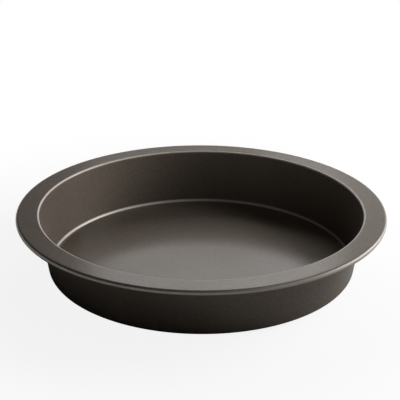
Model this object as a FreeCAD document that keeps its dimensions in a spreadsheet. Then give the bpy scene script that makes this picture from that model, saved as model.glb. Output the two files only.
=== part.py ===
import FreeCAD, Part
import enum
import math
import os
import Sketcher

# Round cake tin: one drawn steel sheet with a flat rim, its edge rolled round a stiffening wire.
# Lengths are in millimetres and angles in degrees.
# The origin is the centre of the base's underside, and +Z points up, out of the mouth.

# Driving sizes, each a cell of the sheet
SIZES = [
    ("mouth_diameter", 228.0, "across the inside, where the wall's line meets the top of the rim"),
    ("overall_height", 42.5, "from the underside of the base to the top of the rim"),
    ("wall_taper", 8.0, "angle that the wall leans outwards from upright"),
    ("rim_width", 16.0, "from the wall's line to the outside of the rolled edge"),
    ("sheet_thickness", 0.8, "the sheet, the same all over"),
    ("floor_bend_radius", 3.2, "inside of the bend from floor to wall"),
    ("mouth_bend_radius", 0.7, "inside of the bend from wall to rim, on its underside"),
    ("wire_diameter", 2.0, "the stiffening wire"),
    ("wire_clearance", 0.1, "all round the wire, within the curl"),
    ("curl_tip_gap", 0.25, "between the sheet's cut edge and the rim's underside above it"),
]

# Sizes that follow from the driving ones, as expressions on the sheet's cells
MOUTH_RADIUS = "sizes.mouth_diameter / 2"
WIRE_RADIUS = "sizes.wire_diameter / 2"
CURL_INSIDE = f"{WIRE_RADIUS} + sizes.wire_clearance"
CURL_OUTSIDE = f"{CURL_INSIDE} + sizes.sheet_thickness"
CURL_CENTRE_RADIUS = f"{MOUTH_RADIUS} + sizes.rim_width - ({CURL_OUTSIDE})"
CURL_CENTRE_HEIGHT = f"sizes.overall_height - ({CURL_OUTSIDE})"

# Directions in an upright section, as angles from its outward x axis
UP = math.pi / 2
DOWN = -UP
INWARD = math.pi


class At(enum.IntEnum):
    """The point of a sketch's line or arc that a constraint holds."""

    START = enum.auto()
    END = enum.auto()
    CENTRE = enum.auto()


def make_sheet(doc):
    """Writes the driving sizes into a sheet, one aliased cell each, with a word on what each one is."""
    sheet = doc.addObject("Spreadsheet::Sheet", "sizes")
    for row, (name, value, meaning) in enumerate(SIZES, start=1):
        sheet.set(f"A{row}", name)
        sheet.set(f"B{row}", str(value))
        sheet.setAlias(f"B{row}", name)
        sheet.set(f"C{row}", meaning)
    doc.recompute()


def new_body(doc, label):
    """A body whose label names the piece, placed at the tin's own origin."""
    body = doc.addObject("PartDesign::Body", label)
    body.Label = label
    body.Placement = FreeCAD.Placement()
    return body


def upright_sketch(body, name):
    """A sketch on the body's upright XZ plane, so its x is a radius and its y a height."""
    plane = next(item for item in body.Origin.OriginFeatures if item.Role == "XZ_Plane")
    sketch = body.newObject("Sketcher::SketchObject", name)
    sketch.AttachmentSupport = [(plane, "")]
    sketch.MapMode = "FlatFace"
    return sketch


def turn(body, sketch, name):
    """Turns the sketch once round the tin's axis."""
    turned = body.newObject("PartDesign::Revolution", name)
    turned.Profile = sketch
    turned.ReferenceAxis = (sketch, ["V_Axis"])
    turned.Angle = 360


def number(sketch, expression):
    """The value that an expression on the sheet's cells has now."""
    return float(sketch.evalExpression(expression))


def point(x, y):
    """A point of a sketch: x is the radius and y the height."""
    return FreeCAD.Vector(x, y, 0)


def origin():
    """The sketch's origin, which a sketch counts as the start of its own x axis."""
    return -1, At.START


def hold(sketch, kind, *places):
    """A constraint that needs no size, such as a tangent or a coincident point."""
    sketch.addConstraint(Sketcher.Constraint(kind, *places))


def dimension(sketch, name, expression, kind, *places):
    """A named constraint, driven by an expression on the sheet's cells."""
    value = number(sketch, expression)
    if kind == "Angle":
        value = math.radians(value)
        expression = f"({expression}) * 1 deg"
    index = sketch.addConstraint(Sketcher.Constraint(kind, *places, value))
    sketch.renameConstraint(index, name)
    sketch.setExpression(f"Constraints.{name}", expression)


def add_bend(sketch, name, centre, inside, first, last):
    """The two faces of a bent sheet: arcs about one centre, the sheet's thickness apart.

    inside is the expression of the smaller radius, and the arcs run anticlockwise from first to last.
    """
    arcs = []
    for face, radius in (("inside", inside), ("outside", f"{inside} + sizes.sheet_thickness")):
        circle = Part.Circle(centre, FreeCAD.Vector(0, 0, 1), number(sketch, radius))
        arc = sketch.addGeometry(Part.ArcOfCircle(circle, first, last))
        dimension(sketch, f"{name}_{face}", radius, "Radius", arc)
        arcs.append(arc)
    inner, outer = arcs
    hold(sketch, "Coincident", inner, At.CENTRE, outer, At.CENTRE)
    return inner, outer


def add_straight(sketch, first, first_end, second, second_end):
    """A straight face of the sheet that runs smoothly from one arc's end to another's."""
    start, end = sketch.getPoint(first, first_end), sketch.getPoint(second, second_end)
    line = sketch.addGeometry(Part.LineSegment(start, end))
    hold(sketch, "Tangent", first, first_end, line, At.START)
    hold(sketch, "Tangent", line, At.END, second, second_end)
    return line


def add_disc_face(sketch, level, arc):
    """A level face of the floor, from the axis to the start of the floor bend."""
    line = sketch.addGeometry(Part.LineSegment(point(0, level), sketch.getPoint(arc, At.START)))
    hold(sketch, "Tangent", line, At.END, arc, At.START)
    hold(sketch, "Horizontal", line)
    return line


def close_section(sketch, first, first_end, second, second_end):
    """A straight edge across the sheet's thickness, from one face's end to the other's."""
    start, end = sketch.getPoint(first, first_end), sketch.getPoint(second, second_end)
    line = sketch.addGeometry(Part.LineSegment(start, end))
    hold(sketch, "Coincident", line, At.START, first, first_end)
    hold(sketch, "Coincident", line, At.END, second, second_end)
    return line


def bend_centres(sketch):
    """Where the floor bend and the mouth bend have their centres, from the line of the inner wall."""
    height = number(sketch, "sizes.overall_height")
    taper = math.radians(number(sketch, "sizes.wall_taper"))
    gauge = number(sketch, "sizes.sheet_thickness")
    floor_bend = number(sketch, "sizes.floor_bend_radius")
    mouth_bend = number(sketch, "sizes.mouth_bend_radius") + gauge

    def wall_radius(level):
        """The radius of the wall's inner line at a height."""
        return number(sketch, MOUTH_RADIUS) - (height - level) * math.tan(taper)

    floor_level = floor_bend + gauge
    mouth_level = height - mouth_bend
    floor_centre = point(wall_radius(floor_level) - floor_bend / math.cos(taper), floor_level)
    mouth_centre = point(wall_radius(mouth_level) + mouth_bend / math.cos(taper), mouth_level)
    return floor_centre, mouth_centre


def pan_section(body):
    """The sheet's section, from the axis out: floor, floor bend, wall, mouth bend, rim and curl."""
    sketch = upright_sketch(body, "pan_section")
    taper = math.radians(number(sketch, "sizes.wall_taper"))
    floor_centre, mouth_centre = bend_centres(sketch)
    curl_centre = point(number(sketch, CURL_CENTRE_RADIUS), number(sketch, CURL_CENTRE_HEIGHT))
    tip_height = number(sketch, f"{CURL_INSIDE} - sizes.curl_tip_gap")
    tip_angle = -INWARD - math.asin(tip_height / number(sketch, CURL_OUTSIDE))

    # The three bends; at the floor the bend's inside is the tin's inside, at the mouth it is under the rim
    floor_in, floor_out = add_bend(
        sketch, "floor_bend", floor_centre, "sizes.floor_bend_radius", DOWN, -taper
    )
    mouth_under, mouth_over = add_bend(
        sketch, "mouth_bend", mouth_centre, "sizes.mouth_bend_radius", UP, INWARD - taper
    )
    curl_in, curl_out = add_bend(sketch, "curl", curl_centre, CURL_INSIDE, tip_angle, UP)

    # The straight faces between them, the sheet's cut edge and the stretch on the axis
    floor_top = add_disc_face(sketch, number(sketch, "sizes.sheet_thickness"), floor_in)
    base_under = add_disc_face(sketch, 0, floor_out)
    wall_in = add_straight(sketch, floor_in, At.END, mouth_over, At.END)
    add_straight(sketch, floor_out, At.END, mouth_under, At.END)
    rim_top = add_straight(sketch, mouth_over, At.START, curl_out, At.END)
    rim_under = add_straight(sketch, mouth_under, At.START, curl_in, At.END)
    cut_edge = close_section(sketch, curl_in, At.START, curl_out, At.START)
    axis_line = close_section(sketch, base_under, At.START, floor_top, At.START)

    # The rim is level, the cut edge points at the curl's centre, and the axis stretch stands on the origin
    hold(sketch, "Horizontal", rim_top)
    hold(sketch, "PointOnObject", curl_out, At.CENTRE, cut_edge)
    hold(sketch, "Vertical", axis_line)
    hold(sketch, "Coincident", axis_line, At.START, *origin())

    # The wall's line and the rim's top meet at the mouth's corner, which carries the main sizes
    corner = sketch.addGeometry(
        Part.Point(point(number(sketch, MOUTH_RADIUS), number(sketch, "sizes.overall_height"))), True
    )
    hold(sketch, "PointOnObject", corner, At.START, wall_in)
    hold(sketch, "PointOnObject", corner, At.START, rim_top)
    dimension(sketch, "mouth_radius", MOUTH_RADIUS, "DistanceX", *origin(), corner, At.START)
    dimension(sketch, "height", "sizes.overall_height", "DistanceY", *origin(), corner, At.START)
    dimension(sketch, "wall_slope", "90 - sizes.wall_taper", "Angle", wall_in)
    dimension(sketch, "curl_place", CURL_CENTRE_RADIUS, "DistanceX", *origin(), curl_out, At.CENTRE)
    dimension(sketch, "tip_gap", "sizes.curl_tip_gap", "DistanceY", cut_edge, At.END, rim_under, At.END)
    return sketch


def wire_section(body):
    """The wire's round section, at the centre of the curl."""
    sketch = upright_sketch(body, "wire_section")
    centre = point(number(sketch, CURL_CENTRE_RADIUS), number(sketch, CURL_CENTRE_HEIGHT))
    circle = Part.Circle(centre, FreeCAD.Vector(0, 0, 1), number(sketch, WIRE_RADIUS))
    wire = sketch.addGeometry(circle)
    dimension(sketch, "wire_radius", WIRE_RADIUS, "Radius", wire)
    dimension(sketch, "ring_radius", CURL_CENTRE_RADIUS, "DistanceX", *origin(), wire, At.CENTRE)
    dimension(sketch, "ring_height", CURL_CENTRE_HEIGHT, "DistanceY", *origin(), wire, At.CENTRE)
    return sketch


def make_pan_body(doc):
    """The tin itself, drawn from one sheet whose edge is curled round the wire."""
    body = new_body(doc, "pan_body")
    turn(body, pan_section(body), "pan_turn")
    return body


def make_rim_wire(doc):
    """The wire that stiffens the edge, butt-welded into a ring and closed in by the curl."""
    body = new_body(doc, "rim_wire")
    turn(body, wire_section(body), "wire_turn")
    return body


def check(doc, bodies):
    """Stops with a message if any object of the document failed, or a piece has no sound solid."""
    for item in doc.Objects:
        if "Invalid" in item.State or "Error" in item.State:
            raise RuntimeError(f"{item.Name} failed: {item.State}")
    for body in bodies:
        shape = body.Shape
        if shape.isNull() or not shape.isValid() or len(shape.Solids) != 1:
            raise RuntimeError(f"{body.Label} is not one sound solid")


def main():
    """Builds the tin and writes each piece to a file of its own name."""
    doc = FreeCAD.newDocument("cake_tin")
    make_sheet(doc)
    bodies = [make_pan_body(doc), make_rim_wire(doc)]
    doc.recompute()
    check(doc, bodies)
    os.makedirs("parts", exist_ok=True)
    for body in bodies:
        body.Shape.exportStep(f"parts/{body.Label}.step")
        box = body.Shape.optimalBoundingBox(False, False)
        size = f"{box.XLength:.2f} x {box.YLength:.2f} x {box.ZLength:.2f} mm"
        print(f"{body.Label}: {size}, {body.Shape.Volume:.1f} mm3")


main()
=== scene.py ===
"""A round cake tin of dark coated steel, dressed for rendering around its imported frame.

Lengths are in metres, in the frame's own axes: +Z up, the origin under the middle of the base.
"""

import enum
import logging
import math
from dataclasses import dataclass, field
from typing import Any, Mapping, Sequence

import bmesh
import bpy
from mathutils import Matrix, Vector


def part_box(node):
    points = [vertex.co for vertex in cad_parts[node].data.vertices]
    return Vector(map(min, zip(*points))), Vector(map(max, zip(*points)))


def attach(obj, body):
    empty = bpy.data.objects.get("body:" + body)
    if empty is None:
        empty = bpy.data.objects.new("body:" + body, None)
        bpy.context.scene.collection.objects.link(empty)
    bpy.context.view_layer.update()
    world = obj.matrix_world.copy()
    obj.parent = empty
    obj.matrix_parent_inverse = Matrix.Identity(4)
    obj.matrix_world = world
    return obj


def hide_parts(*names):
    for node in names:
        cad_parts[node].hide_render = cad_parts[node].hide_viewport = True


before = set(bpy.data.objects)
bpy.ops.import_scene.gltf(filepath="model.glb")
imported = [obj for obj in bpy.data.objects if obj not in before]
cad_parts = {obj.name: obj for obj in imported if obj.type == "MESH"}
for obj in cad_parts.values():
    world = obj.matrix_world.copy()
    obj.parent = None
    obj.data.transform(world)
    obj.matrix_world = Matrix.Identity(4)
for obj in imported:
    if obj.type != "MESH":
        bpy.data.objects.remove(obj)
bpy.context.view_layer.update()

LOG = logging.getLogger("cake_tin")
MM = 0.001
FULL_TURN = 2 * math.pi
QUARTER_TURN = math.pi / 2
MERGE_DISTANCE = 0.001 * MM
NOISE_MIDDLE = 0.5

Span = tuple[float, float]
Triple = tuple[float, float, float]
Colour = tuple[float, float, float, float]


class Slot(enum.Enum):
    """The record's material slots for the tin's coating and its wire; no piece in this script reads
    them.
    """

    COATED_STEEL = "coated_steel"
    BARE_WIRE = "bare_wire"


class Zone(enum.IntEnum):
    """Which finish a face of the tin's sheet has, as its material index."""

    COATING = 0
    CUT_EDGE = 1


class Signal:
    """A shader socket that can be used in Python expressions, which add Math nodes."""

    def __init__(self, graph: "Graph", socket: bpy.types.NodeSocket) -> None:
        """Keeps the socket and the graph that its Math nodes go to."""
        self.graph = graph
        self.socket = socket

    def _math(self, operation: str, first: Any, second: Any) -> "Signal":
        """Adds one Math node on two operands, each a signal or a number."""
        return self.graph.node("ShaderNodeMath", {"operation": operation}, {0: first, 1: second})

    def __add__(self, other: Any) -> "Signal":
        """This value plus another."""
        return self._math("ADD", self, other)

    def __radd__(self, other: Any) -> "Signal":
        """A number plus this value."""
        return self._math("ADD", other, self)

    def __sub__(self, other: Any) -> "Signal":
        """This value less another."""
        return self._math("SUBTRACT", self, other)

    def __rsub__(self, other: Any) -> "Signal":
        """A number less this value."""
        return self._math("SUBTRACT", other, self)

    def __mul__(self, other: Any) -> "Signal":
        """This value times another."""
        return self._math("MULTIPLY", self, other)

    def __rmul__(self, other: Any) -> "Signal":
        """A number times this value."""
        return self._math("MULTIPLY", other, self)


class Graph:
    """The node tree of one material or world, filled by one method."""

    def __init__(self, tree: bpy.types.NodeTree) -> None:
        """Starts from an empty tree."""
        self.tree = tree
        tree.nodes.clear()

    def node(
        self,
        kind: str,
        settings: Mapping[str, Any] | None = None,
        inputs: Mapping[Any, Any] | None = None,
        output: Any = 0,
    ) -> Signal:
        """Adds a node.

        Args:
            kind: The node's Blender type.
            settings: Its own properties, which are set first.
            inputs: A number, colour or signal for each socket, by name or index.
            output: The name or index of the output that is handed back.

        Returns:
            That output, or the node's first input if it has no outputs.
        """
        node = self.tree.nodes.new(kind)
        for name, value in (settings or {}).items():
            setattr(node, name, value)
        for name, value in (inputs or {}).items():
            if isinstance(value, Signal):
                self.tree.links.new(value.socket, node.inputs[name])
            else:
                node.inputs[name].default_value = value
        return Signal(self, node.outputs[output] if node.outputs else node.inputs[0])

    def noise(self, point: Signal, size: float, detail: float = 2.0) -> Signal:
        """A noise between about 0 and 1 whose blobs have a size in metres."""
        inputs = {"Vector": point, "Scale": 1 / size, "Detail": detail}
        return self.node("ShaderNodeTexNoise", None, inputs)

    def stretch(self, point: Signal, factors: Triple) -> Signal:
        """A point with each coordinate times its own factor."""
        return self.node("ShaderNodeVectorMath", {"operation": "MULTIPLY"}, {0: point, 1: factors})

    def ramp(self, value: Signal, low: float, high: float) -> Signal:
        """A smooth step from 0 where the value is low to 1 where it is high."""
        inputs = {"Value": value, "From Min": low, "From Max": high}
        return self.node("ShaderNodeMapRange", {"interpolation_type": "SMOOTHSTEP"}, inputs)

    def mix(self, factor: Any, first: Any, second: Any) -> Signal:
        """A colour that goes from the first to the second as the factor goes from 0 to 1."""
        inputs = {0: factor, 6: first, 7: second}
        return self.node("ShaderNodeMix", {"data_type": "RGBA"}, inputs, output=2)

    def bump(self, height: Signal, strength: float, depth: float) -> Signal:
        """A normal that follows a height, where a height of 1 is as high as the depth in metres."""
        inputs = {"Strength": strength, "Distance": depth, "Height": height}
        return self.node("ShaderNodeBump", None, inputs)


class Place:
    """Where a shaded point is on the tin, as signals in metres."""

    def __init__(self, graph: Graph) -> None:
        """Reads the object's own coordinates and works out the distance from its axis.

        Args:
            graph: The material's graph.
        """
        self.point = graph.node("ShaderNodeTexCoord", output="Object")
        self.height = graph.node("ShaderNodeSeparateXYZ", None, {0: self.point}, output="Z")
        level = graph.stretch(self.point, (1.0, 1.0, 0.0))
        self.radius = graph.node(
            "ShaderNodeVectorMath", {"operation": "LENGTH"}, {0: level}, output="Value"
        )


@dataclass(frozen=True)
class PaintedHighlightLine:
    """A circle round the tin's axis along which the coating's colour is lightened into a painted
    highlight line, and how strongly.
    """

    radius: float
    height: float
    reach: float
    strength: float

    def painted_highlight(self, graph: Graph, place: Place) -> Signal:
        """How far the line's painted highlight covers a point of the coating.

        Args:
            graph: The material's graph.
            place: Where the shaded point is.

        Returns:
            The strength within half the reach of the circle, falling smoothly to 0 at the reach.
        """
        across = place.radius - self.radius
        along = place.height - self.height
        square = across * across + along * along
        return self.strength * (1 - graph.ramp(square, (self.reach / 2) ** 2, self.reach**2))


def rgb(red: float, green: float, blue: float) -> Colour:
    """An opaque colour, from linear components."""
    return (red, green, blue, 1.0)


@dataclass(frozen=True)
class Finish:
    """A finish that becomes one material."""

    name: str

    def surface(self, graph: Graph, place: Place) -> Signal:
        """Adds the finish's nodes and hands back its shader."""
        raise NotImplementedError

    def material(self) -> bpy.types.Material:
        """Makes the material.

        Returns:
            A material with the finish's nodes.
        """
        material = bpy.data.materials.new(self.name)
        material.use_nodes = True
        graph = Graph(material.node_tree)
        shader = self.surface(graph, Place(graph))
        graph.node("ShaderNodeOutputMaterial", None, {"Surface": shader})
        return material


@dataclass(frozen=True, kw_only=True)
class NonstickCoating(Finish):
    """The tin's satin coating: dark, warm, full of fine flakes, with painted highlight lines along
    its bends, where it is also more metallic and smoother.
    """

    name: str = "nonstick_coating"
    foot_radius: float
    rim_radius: float
    lines: tuple[PaintedHighlightLine, ...]
    colour: Colour = rgb(0.107, 0.088, 0.070)
    flake_colour: Colour = rgb(0.181, 0.149, 0.120)
    worn_colour: Colour = rgb(0.204, 0.178, 0.160)
    # Painted highlight: a light colour laid along the bend lines, with more metal and less
    # roughness there.
    painted_highlight_colour: Colour = rgb(0.548, 0.492, 0.445)
    metallic: float = 0.65
    highlight_line_metallic: float = 0.75
    roughness: float = 0.63
    highlight_line_roughness: float = 0.6
    index: float = 1.2
    skin_weight: float = 0.41
    skin_roughness: float = 0.19
    skin_index: float = 1.45
    flake_size: float = 0.3 * MM
    flake_span: Span = (0.45, 0.75)
    flake_share: float = 0.3
    flake_middle: float = 0.4
    flake_metal: float = 0.2
    grain_size: float = 1.3 * MM
    grain_span: Span = (0.3, 0.7)
    grain_share: float = 0.4
    streak_size: float = 0.5 * MM
    streak_stretch: Triple = (0.02, 0.02, 1.0)
    streak_share: float = 0.2
    streak_height: float = 0.4
    streak_roughness: float = 0.06
    cloud_size: float = 45 * MM
    cloud_share: float = 0.1
    cloud_roughness: float = 0.08
    cloud_skin: float = 0.2
    peel_size: float = 0.8 * MM
    peel_depth: float = 0.05 * MM
    peel_strength: float = 0.15
    scuff_size: float = 2.5 * MM
    scuff_detail: float = 4.0
    scuff_span: Span = (0.4, 0.7)
    foot_heights: Span = (0.1 * MM, 0.5 * MM)
    foot_insets: Span = (16 * MM, 1 * MM)
    rim_inset: float = 0.5 * MM
    rim_wear: float = 0.6
    worn_share: float = 0.6
    worn_gloss: float = 0.15
    worn_skin: float = 0.3

    def wear(self, graph: Graph, place: Place) -> Signal:
        """How far the coating is rubbed, from 0 to 1.

        Args:
            graph: The material's graph.
            place: Where the shaded point is.

        Returns:
            The wear, on the foot that slides over racks and on the outermost line of the rim.
        """
        under = 1 - graph.ramp(place.height, *self.foot_heights)
        foot_start, foot_end = (self.foot_radius - inset for inset in self.foot_insets)
        foot = graph.ramp(place.radius, foot_start, foot_end)
        rim = graph.ramp(place.radius, self.rim_radius - self.rim_inset, self.rim_radius)
        scuffs = graph.noise(place.point, self.scuff_size, self.scuff_detail)
        patches = graph.ramp(scuffs, *self.scuff_span)
        return patches * (under * foot + self.rim_wear * rim)

    def painted_highlight(self, graph: Graph, place: Place) -> Signal:
        """How far the painted highlight covers the coating, from 0 to 1, along the bends of the
        sheet and the rolled edge.
        """
        return sum(line.painted_highlight(graph, place) for line in self.lines)

    def surface(self, graph: Graph, place: Place) -> Signal:
        """Adds the coating's nodes.

        Args:
            graph: The material's graph.
            place: Where the shaded point is.

        Returns:
            The coating's shader.
        """
        flakes = graph.ramp(graph.noise(place.point, self.flake_size), *self.flake_span)
        grain = graph.ramp(graph.noise(place.point, self.grain_size), *self.grain_span)
        peel = graph.noise(place.point, self.peel_size)
        cloud = graph.noise(place.point, self.cloud_size)
        level = graph.stretch(place.point, self.streak_stretch)
        streaks = graph.noise(level, self.streak_size)
        wear = self.wear(graph, place)
        # How far the painted highlight lines cover this point.
        painted_highlight = self.painted_highlight(graph, place)
        speckle = (
            self.flake_share * flakes
            + self.grain_share * grain
            + self.streak_share * streaks
            + self.cloud_share * cloud
        )
        fresh = graph.mix(speckle, self.colour, self.flake_colour)
        rubbed = graph.mix(self.worn_share * wear, fresh, self.worn_colour)
        height = peel + self.streak_height * streaks
        return graph.node(
            "ShaderNodeBsdfPrincipled",
            None,
            {
                # Painted highlight: the coating's colour is lightened along the bend lines.
                "Base Color": graph.mix(painted_highlight, rubbed, self.painted_highlight_colour),
                "Metallic": self.metallic
                + self.flake_metal * (flakes - self.flake_middle)
                + (self.highlight_line_metallic - self.metallic) * painted_highlight,
                "Roughness": self.roughness
                + self.cloud_roughness * (cloud - NOISE_MIDDLE)
                + self.streak_roughness * (streaks - NOISE_MIDDLE)
                - self.worn_gloss * wear
                - (self.roughness - self.highlight_line_roughness) * painted_highlight,
                "IOR": self.index,
                "Coat Weight": self.skin_weight
                + self.cloud_skin * (cloud - NOISE_MIDDLE)
                - self.worn_skin * wear,
                "Coat Roughness": self.skin_roughness,
                "Coat IOR": self.skin_index,
                "Normal": graph.bump(height, self.peel_strength, self.peel_depth),
            },
        )


@dataclass(frozen=True)
class ShearedEdge(Finish):
    """The bare edge that the shears left on the sheet, lined across its thickness."""

    name: str = "sheared_edge"
    bright: Colour = rgb(0.46, 0.45, 0.43)
    dull: Colour = rgb(0.22, 0.21, 0.20)
    metallic: float = 1.0
    roughness: float = 0.35
    tear_size: float = 0.12 * MM
    tear_detail: float = 3.0
    tear_stretch: Triple = (1.0, 1.0, 0.1)
    tear_depth: float = 0.03 * MM
    tear_strength: float = 0.3
    tear_roughness: float = 0.3

    def surface(self, graph: Graph, place: Place) -> Signal:
        """Adds the edge's nodes.

        Args:
            graph: The material's graph.
            place: Where the shaded point is.

        Returns:
            The edge's shader.
        """
        drawn_out = graph.stretch(place.point, self.tear_stretch)
        tears = graph.noise(drawn_out, self.tear_size, self.tear_detail)
        return graph.node(
            "ShaderNodeBsdfPrincipled",
            None,
            {
                "Base Color": graph.mix(tears, self.dull, self.bright),
                "Metallic": self.metallic,
                "Roughness": self.roughness + self.tear_roughness * tears,
                "Normal": graph.bump(tears, self.tear_strength, self.tear_depth),
            },
        )


@dataclass(frozen=True, kw_only=True)
class DrawnWire(Finish):
    """Dull drawn wire: fine lines along the ring, and a heat tint where its ends are welded."""

    name: str = "drawn_wire"
    weld: Triple
    bright: Colour = rgb(0.50, 0.49, 0.47)
    dull: Colour = rgb(0.28, 0.27, 0.26)
    tint: Colour = rgb(0.20, 0.13, 0.07)
    metallic: float = 1.0
    roughness: float = 0.3
    line_size: float = 0.06 * MM
    line_depth: float = 0.01 * MM
    line_strength: float = 0.2
    line_roughness: float = 0.2
    tint_span: Span = (1 * MM, 7 * MM)
    tint_share: float = 0.7
    tint_roughness: float = 0.15

    def surface(self, graph: Graph, place: Place) -> Signal:
        """Adds the wire's nodes.

        Args:
            graph: The material's graph.
            place: Where the shaded point is.

        Returns:
            The wire's shader.
        """
        across = graph.node("ShaderNodeCombineXYZ", None, {"X": place.radius, "Z": place.height})
        lines = graph.noise(across, self.line_size)
        away = graph.node(
            "ShaderNodeVectorMath",
            {"operation": "DISTANCE"},
            {0: place.point, 1: self.weld},
            output="Value",
        )
        heat = 1 - graph.ramp(away, *self.tint_span)
        steel = graph.mix(lines, self.dull, self.bright)
        return graph.node(
            "ShaderNodeBsdfPrincipled",
            None,
            {
                "Base Color": graph.mix(self.tint_share * heat, steel, self.tint),
                "Metallic": self.metallic,
                "Roughness": self.roughness
                + self.line_roughness * lines
                + self.tint_roughness * heat,
                "Normal": graph.bump(lines, self.line_strength, self.line_depth),
            },
        )


@dataclass(frozen=True)
class StudioWhite(Finish):
    """Matt pale grey for the studio's sweep, which is seen as plain white away from the tin."""

    name: str = "studio_white"
    colour: Colour = rgb(0.62, 0.62, 0.62)
    seen_colour: Colour = rgb(0.95, 0.95, 0.95)
    veil: float = 0.88
    lit_to: float = 0.14
    white_from: float = 0.32

    def surface(self, graph: Graph, place: Place) -> Signal:
        """Adds the sweep's nodes.

        Args:
            graph: The material's graph.
            place: Where the shaded point is.

        Returns:
            A matt shader near the tin, which the camera sees in a paler colour and through a veil
            of white that lightens the tin's shadow, and beyond it a white one for camera, glossy
            and transmission rays.
        """
        matt = graph.node("ShaderNodeBsdfDiffuse", None, {"Color": self.colour})
        pale = graph.node("ShaderNodeBsdfDiffuse", None, {"Color": self.seen_colour})
        white = graph.node("ShaderNodeEmission", None, {"Strength": 1.0})
        rays = ("Is Camera Ray", "Is Glossy Ray", "Is Transmission Ray")
        camera, glossy, through = (graph.node("ShaderNodeLightPath", output=ray) for ray in rays)
        far = graph.ramp(place.radius, self.lit_to, self.white_from)
        cover = far * (camera + glossy + through) + self.veil * (1 - far) * camera
        near = graph.node("ShaderNodeMixShader", None, {0: camera, 1: matt, 2: pale})
        return graph.node("ShaderNodeMixShader", None, {0: cover, 1: near, 2: white})


class SectionPen:
    """Draws a section in the upright XZ plane of a bmesh, run by run, from its first point."""

    def __init__(self, mesh: bmesh.types.BMesh, start: Vector) -> None:
        """Puts the pen down at the start."""
        self.mesh = mesh
        self.tip = bmesh.ops.create_vert(mesh, co=start)["vert"][0]

    def run(self, end: Vector, shares: Sequence[float] = ()) -> None:
        """Draws a straight run.

        Args:
            end: Where the run ends.
            shares: Shares of the run at which it gets further points.
        """
        start = self.tip.co.copy()
        for share in (*shares, 1.0):
            self.tip = bmesh.ops.extrude_vert_indiv(self.mesh, verts=[self.tip])["verts"][0]
            self.tip.co = start.lerp(end, share)

    def bend(self, centre: Vector, angle: float, steps: int) -> None:
        """Draws an arc.

        Args:
            centre: The arc's centre.
            angle: How far it turns, anticlockwise with +X to the right and +Z up.
            steps: Its number of edges.
        """
        spun = bmesh.ops.spin(
            self.mesh, geom=[self.tip], cent=centre, axis=(0, -1, 0), angle=angle, steps=steps
        )
        self.tip = next(item for item in spun["geom_last"] if isinstance(item, bmesh.types.BMVert))


def in_section(radius: float, height: float) -> Vector:
    """A point of the upright section at +X."""
    return Vector((radius, 0.0, height))


def on_axis(height: float) -> Vector:
    """A point of the tin's axis."""
    return in_section(0.0, height)


def on_arc(centre: Vector, radius: float, angle: float) -> Vector:
    """A point on an arc in the upright section, with its angle anticlockwise from +X."""
    return centre + radius * in_section(math.cos(angle), math.sin(angle))


def turn_round(mesh: bmesh.types.BMesh, steps: int) -> None:
    """Turns all that a bmesh holds once round the tin's axis and closes the seam and the poles.

    Args:
        mesh: The bmesh with the section.
        steps: The number of steps in the full turn.
    """
    bmesh.ops.spin(
        mesh,
        geom=[*mesh.verts, *mesh.edges],
        cent=(0, 0, 0),
        axis=(0, 0, 1),
        angle=FULL_TURN,
        steps=steps,
        use_merge=True,
    )
    bmesh.ops.remove_doubles(mesh, verts=mesh.verts, dist=MERGE_DISTANCE)
    bmesh.ops.recalc_face_normals(mesh, faces=mesh.faces)


def smooth_object(
    mesh: bmesh.types.BMesh, name: str, finishes: Sequence[bpy.types.Material]
) -> bpy.types.Object:
    """Makes a bmesh into an object with smooth faces.

    Args:
        mesh: The finished bmesh, which is freed.
        name: The object's name.
        finishes: Its materials, in the order of its faces' material indices.

    Returns:
        The object, linked to the scene.
    """
    for face in mesh.faces:
        face.smooth = True
    data = bpy.data.meshes.new(name)
    mesh.to_mesh(data)
    mesh.free()
    for finish in finishes:
        data.materials.append(finish)
    made = bpy.data.objects.new(name, data)
    bpy.context.scene.collection.objects.link(made)
    LOG.info("%s: %d faces", name, len(data.polygons))
    return made


def carry(piece: bpy.types.Object, node: str) -> None:
    """Puts a piece on the tin's one body in the place of a node of the frame.

    Args:
        piece: The piece.
        node: The frame's node that it replaces.
    """
    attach(piece, "root")
    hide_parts(node)


@dataclass
class RimWire:
    """The wire ring that the tin's edge is rolled over."""

    node: str = "rim_wire"
    section_steps: int = 20
    turn_steps: int = 256
    ring_radius: float = field(init=False)
    height: float = field(init=False)
    radius: float = field(init=False)

    def __post_init__(self) -> None:
        """Takes the ring's sizes from the frame."""
        low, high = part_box(self.node)
        self.radius = (high.z - low.z) / 2
        self.height = (high.z + low.z) / 2
        self.ring_radius = high.x - self.radius

    def build(self) -> bmesh.types.BMesh:
        """Turns the wire's round section round the axis.

        Returns:
            The closed ring.
        """
        mesh = bmesh.new()
        place = Matrix.Translation(in_section(self.ring_radius, self.height))
        upright = Matrix.Rotation(QUARTER_TURN, 4, "X")
        bmesh.ops.create_circle(
            mesh, radius=self.radius, segments=self.section_steps, matrix=place @ upright
        )
        turn_round(mesh, self.turn_steps)
        return mesh

    def dress(self) -> None:
        """Builds the wire and gives it its drawn finish."""
        finish = DrawnWire(weld=(0.0, self.ring_radius, self.height))
        piece = smooth_object(self.build(), f"{self.node}_dressed", [finish.material()])
        carry(piece, self.node)


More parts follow.
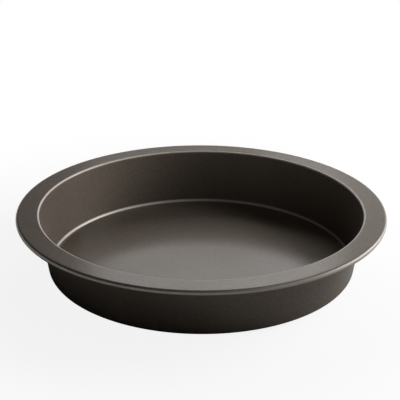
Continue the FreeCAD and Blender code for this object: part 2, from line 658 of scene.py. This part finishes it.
@dataclass
class Pan:
    """The tin itself: one sheet with floor, wall, flat rim and an edge rolled over the wire."""

    wire: RimWire
    node: str = "pan_body"
    taper: float = math.radians(8.0)
    rim_width: float = 16.0 * MM
    gauge: float = 0.8 * MM
    floor_bend: float = 3.2 * MM
    mouth_bend: float = 0.7 * MM
    tip_gap: float = 0.25 * MM
    floor_line_angle: float = math.radians(-30.0)
    mouth_line_angle: float = math.radians(126.0)
    edge_line_angle: float = math.radians(15.0)
    bend_reach: float = 1.42 * MM
    edge_reach: float = 2.1 * MM
    # Strengths of the painted highlight along the floor bend, the mouth bend and the rolled edge.
    floor_highlight: float = 0.9
    mouth_highlight: float = 0.9
    edge_highlight: float = 0.45
    floor_shares: tuple[float, ...] = (0.5, 0.9, 0.99)
    wall_shares: tuple[float, ...] = (0.04, 0.5, 0.96)
    rim_shares: tuple[float, ...] = (0.06, 0.5, 0.94)
    base_shares: tuple[float, ...] = (0.01, 0.1, 0.5)
    floor_steps: int = 12
    mouth_steps: int = 8
    mouth_under_steps: int = 6
    curl_steps: int = 32
    curl_inner_steps: int = 24
    turn_steps: int = 256
    outer_radius: float = field(init=False)
    height: float = field(init=False)

    def __post_init__(self) -> None:
        """Takes the overall sizes from the frame."""
        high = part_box(self.node)[1]
        self.outer_radius = high.x
        self.height = high.z

    def wall_radius(self, level: float) -> float:
        """The radius of the wall's inner line at a height."""
        return self.outer_radius - self.rim_width - (self.height - level) * math.tan(self.taper)

    def floor_centre(self) -> Vector:
        """The centre of the bend between floor and wall, in the section."""
        level = self.floor_bend + self.gauge
        return in_section(self.wall_radius(level) - self.floor_bend / math.cos(self.taper), level)

    def mouth_over(self) -> float:
        """The radius of the bend between wall and rim, on the sheet's shown side."""
        return self.mouth_bend + self.gauge

    def mouth_centre(self) -> Vector:
        """The centre of the bend between wall and rim, in the section."""
        level = self.height - self.mouth_over()
        return in_section(self.wall_radius(level) + self.mouth_over() / math.cos(self.taper), level)

    def curl_centre(self) -> Vector:
        """The centre of the curl round the wire, in the section."""
        return in_section(self.wire.ring_radius, self.wire.height)

    def curl_out(self) -> float:
        """The radius of the curl round the wire, on the sheet's shown side."""
        return self.height - self.wire.height

    def painted_highlight_lines(self) -> tuple[PaintedHighlightLine, ...]:
        """The lines of painted highlight along the floor bend, the mouth bend and the rolled edge.

        Returns:
            Lines one gauge off the shown side of the sheet. Those of the bends don't reach its far
            side.
        """
        lift = self.gauge
        floor = on_arc(self.floor_centre(), self.floor_bend - lift, self.floor_line_angle)
        mouth = on_arc(self.mouth_centre(), self.mouth_over() + lift, self.mouth_line_angle)
        edge = on_arc(self.curl_centre(), self.curl_out() + lift, self.edge_line_angle)
        return (
            PaintedHighlightLine(floor.x, floor.z, self.bend_reach, self.floor_highlight),
            PaintedHighlightLine(mouth.x, mouth.z, self.bend_reach, self.mouth_highlight),
            PaintedHighlightLine(edge.x, edge.z, self.edge_reach, self.edge_highlight),
        )

    def build(self) -> bmesh.types.BMesh:
        """Draws the sheet's section and turns it round the axis.

        Returns:
            The closed sheet, with its cut edge in a zone of its own.
        """
        gauge = self.gauge
        bend_turn = QUARTER_TURN - self.taper
        floor_centre = self.floor_centre()
        mouth_centre = self.mouth_centre()
        curl_centre = self.curl_centre()
        curl_out = self.curl_out()
        curl_in = curl_out - gauge
        curl_turn = 3 * QUARTER_TURN + math.asin((curl_in - self.tip_gap) / curl_out)
        outward = in_section(math.cos(self.taper), -math.sin(self.taper))
        up = on_axis(1.0)

        mesh = bmesh.new()
        pen = SectionPen(mesh, on_axis(gauge))
        pen.run(floor_centre - up * self.floor_bend, self.floor_shares)
        pen.bend(floor_centre, bend_turn, self.floor_steps)
        pen.run(mouth_centre - outward * self.mouth_over(), self.wall_shares)
        pen.bend(mouth_centre, -bend_turn, self.mouth_steps)
        pen.run(curl_centre + up * curl_out, self.rim_shares)
        pen.bend(curl_centre, -curl_turn, self.curl_steps)
        tip_out = pen.tip.co.copy()
        tip_in = curl_centre.lerp(tip_out, curl_in / curl_out)
        pen.run(tip_in)
        pen.bend(curl_centre, curl_turn, self.curl_inner_steps)
        pen.run(mouth_centre + up * self.mouth_bend, self.rim_shares)
        pen.bend(mouth_centre, bend_turn, self.mouth_under_steps)
        pen.run(floor_centre + outward * (self.floor_bend + gauge), self.wall_shares)
        pen.bend(floor_centre, -bend_turn, self.floor_steps)
        pen.run(on_axis(0.0), self.base_shares)
        turn_round(mesh, self.turn_steps)
        self.mark_cut_edge(mesh, (tip_out + tip_in) / 2)
        return mesh

    def mark_cut_edge(self, mesh: bmesh.types.BMesh, middle: Vector) -> None:
        """Gives the sheet's cut edge its own zone and keeps its corners sharp.

        Args:
            mesh: The turned sheet.
            middle: The middle of the cut edge in the section.
        """
        for face in mesh.faces:
            centre = face.calc_center_median()
            here = in_section(math.hypot(centre.x, centre.y), centre.z)
            if (here - middle).length < self.gauge / 4:
                face.material_index = Zone.CUT_EDGE
                for edge in face.edges:
                    edge.smooth = edge.calc_face_angle() < QUARTER_TURN / 2

    def dress(self) -> None:
        """Builds the sheet and gives it its coating and bare cut edge."""
        coating = NonstickCoating(
            foot_radius=self.floor_centre().x,
            rim_radius=self.outer_radius,
            lines=self.painted_highlight_lines(),
        )
        finishes = {Zone.COATING: coating, Zone.CUT_EDGE: ShearedEdge()}
        materials = [finishes[zone].material() for zone in Zone]
        piece = smooth_object(self.build(), f"{self.node}_dressed", materials)
        carry(piece, self.node)


@dataclass(frozen=True)
class PhotoCamera:
    """The photograph's viewpoint, found by fitting the edges of rim, mouth and base in it."""

    target: Vector
    frame_px: float = 400.0
    focal_px: float = 1056.46
    axis_x_px: float = 201.33
    axis_y_px: float = 206.40
    elevation: float = math.radians(22.976)
    roll: float = math.radians(0.216)
    distance: float = 748.255 * MM

    def place(self) -> None:
        """Makes the camera and hands it to the scene."""
        data = bpy.data.cameras.new("photo_camera")
        data.sensor_fit = "HORIZONTAL"
        data.lens = data.sensor_width * self.focal_px / self.frame_px
        data.shift_x = 0.5 - self.axis_x_px / self.frame_px
        data.shift_y = self.axis_y_px / self.frame_px - 0.5
        camera = bpy.data.objects.new("photo_camera", data)
        back = Vector((0.0, -math.cos(self.elevation), math.sin(self.elevation)))
        camera.matrix_world = (
            Matrix.Translation(self.target + back * self.distance)
            @ Matrix.Rotation(QUARTER_TURN - self.elevation, 4, "X")
            @ Matrix.Rotation(self.roll, 4, "Z")
        )
        bpy.context.scene.collection.objects.link(camera)
        bpy.context.scene.camera = camera


@dataclass(frozen=True)
class Softbox:
    """A square soft lamp that faces the tin.

    Its angles are in degrees, and its level is the light that it gives at the tin.
    """

    name: str
    azimuth: float
    elevation: float
    distance: float
    size: float
    level: float

    def hang(self, target: Vector) -> None:
        """Hangs the lamp.

        Args:
            target: The point that it faces.
        """
        data = bpy.data.lights.new(self.name, "AREA")
        data.size = self.size
        data.energy = self.level * math.pi * self.distance**2
        lamp = bpy.data.objects.new(self.name, data)
        turn, rise = math.radians(self.azimuth), math.radians(self.elevation)
        away = Vector(
            (math.cos(rise) * math.cos(turn), math.cos(rise) * math.sin(turn), math.sin(rise))
        )
        lamp.location = target + away * self.distance
        lamp.rotation_euler = away.to_track_quat("Z", "Y").to_euler()
        bpy.context.scene.collection.objects.link(lamp)


@dataclass
class Studio:
    """The white sweep, the soft lamps and the dim world round the tin."""

    aim_height: float = 30 * MM
    sweep_radius: float = 3.0
    sweep_height: float = 0.76
    sweep_steps: int = 96
    cove_radius: float = 0.4
    cove_steps: int = 12
    floor_drop: float = 0.2 * MM
    world_level: float = 0.02
    lamps: tuple[Softbox, ...] = (
        Softbox("key", azimuth=16, elevation=26, distance=0.66, size=0.40, level=3.42),
        Softbox("back", azimuth=88.5, elevation=34, distance=0.84, size=0.37, level=0.68),
        Softbox("low_back", azimuth=70, elevation=17, distance=0.88, size=0.41, level=0.18),
        Softbox("top", azimuth=-32, elevation=59, distance=0.80, size=0.30, level=0.17),
    )

    def set_up(self) -> None:
        """Makes the sweep, the lamps and the world."""
        self.lay_sweep()
        for lamp in self.lamps:
            lamp.hang(on_axis(self.aim_height))
        self.light_world()

    def lay_sweep(self) -> None:
        """Lays a round floor just under the tin's base and curves it up into a low wall."""
        mesh = bmesh.new()
        flat = self.sweep_radius - self.cove_radius
        pen = SectionPen(mesh, on_axis(-self.floor_drop))
        pen.run(in_section(flat, -self.floor_drop))
        cove_centre = in_section(flat, self.cove_radius - self.floor_drop)
        pen.bend(cove_centre, QUARTER_TURN, self.cove_steps)
        pen.run(in_section(self.sweep_radius, self.sweep_height))
        turn_round(mesh, self.sweep_steps)
        bmesh.ops.reverse_faces(mesh, faces=mesh.faces)
        smooth_object(mesh, "sweep", [StudioWhite().material()])

    def light_world(self) -> None:
        """Gives the world a plain even level."""
        world = bpy.data.worlds.new("studio")
        world.use_nodes = True
        graph = Graph(world.node_tree)
        light = graph.node("ShaderNodeBackground", None, {"Strength": self.world_level})
        graph.node("ShaderNodeOutputWorld", None, {"Surface": light})
        bpy.context.scene.world = world


def main() -> None:
    """Builds the tin's pieces, then the camera and the studio."""
    logging.basicConfig(level=logging.INFO)
    wire = RimWire()
    wire.dress()
    pan = Pan(wire)
    pan.dress()
    PhotoCamera(on_axis(pan.height)).place()
    Studio().set_up()
    bpy.context.scene.view_settings.view_transform = "Standard"


if __name__ == "__main__":
    main()
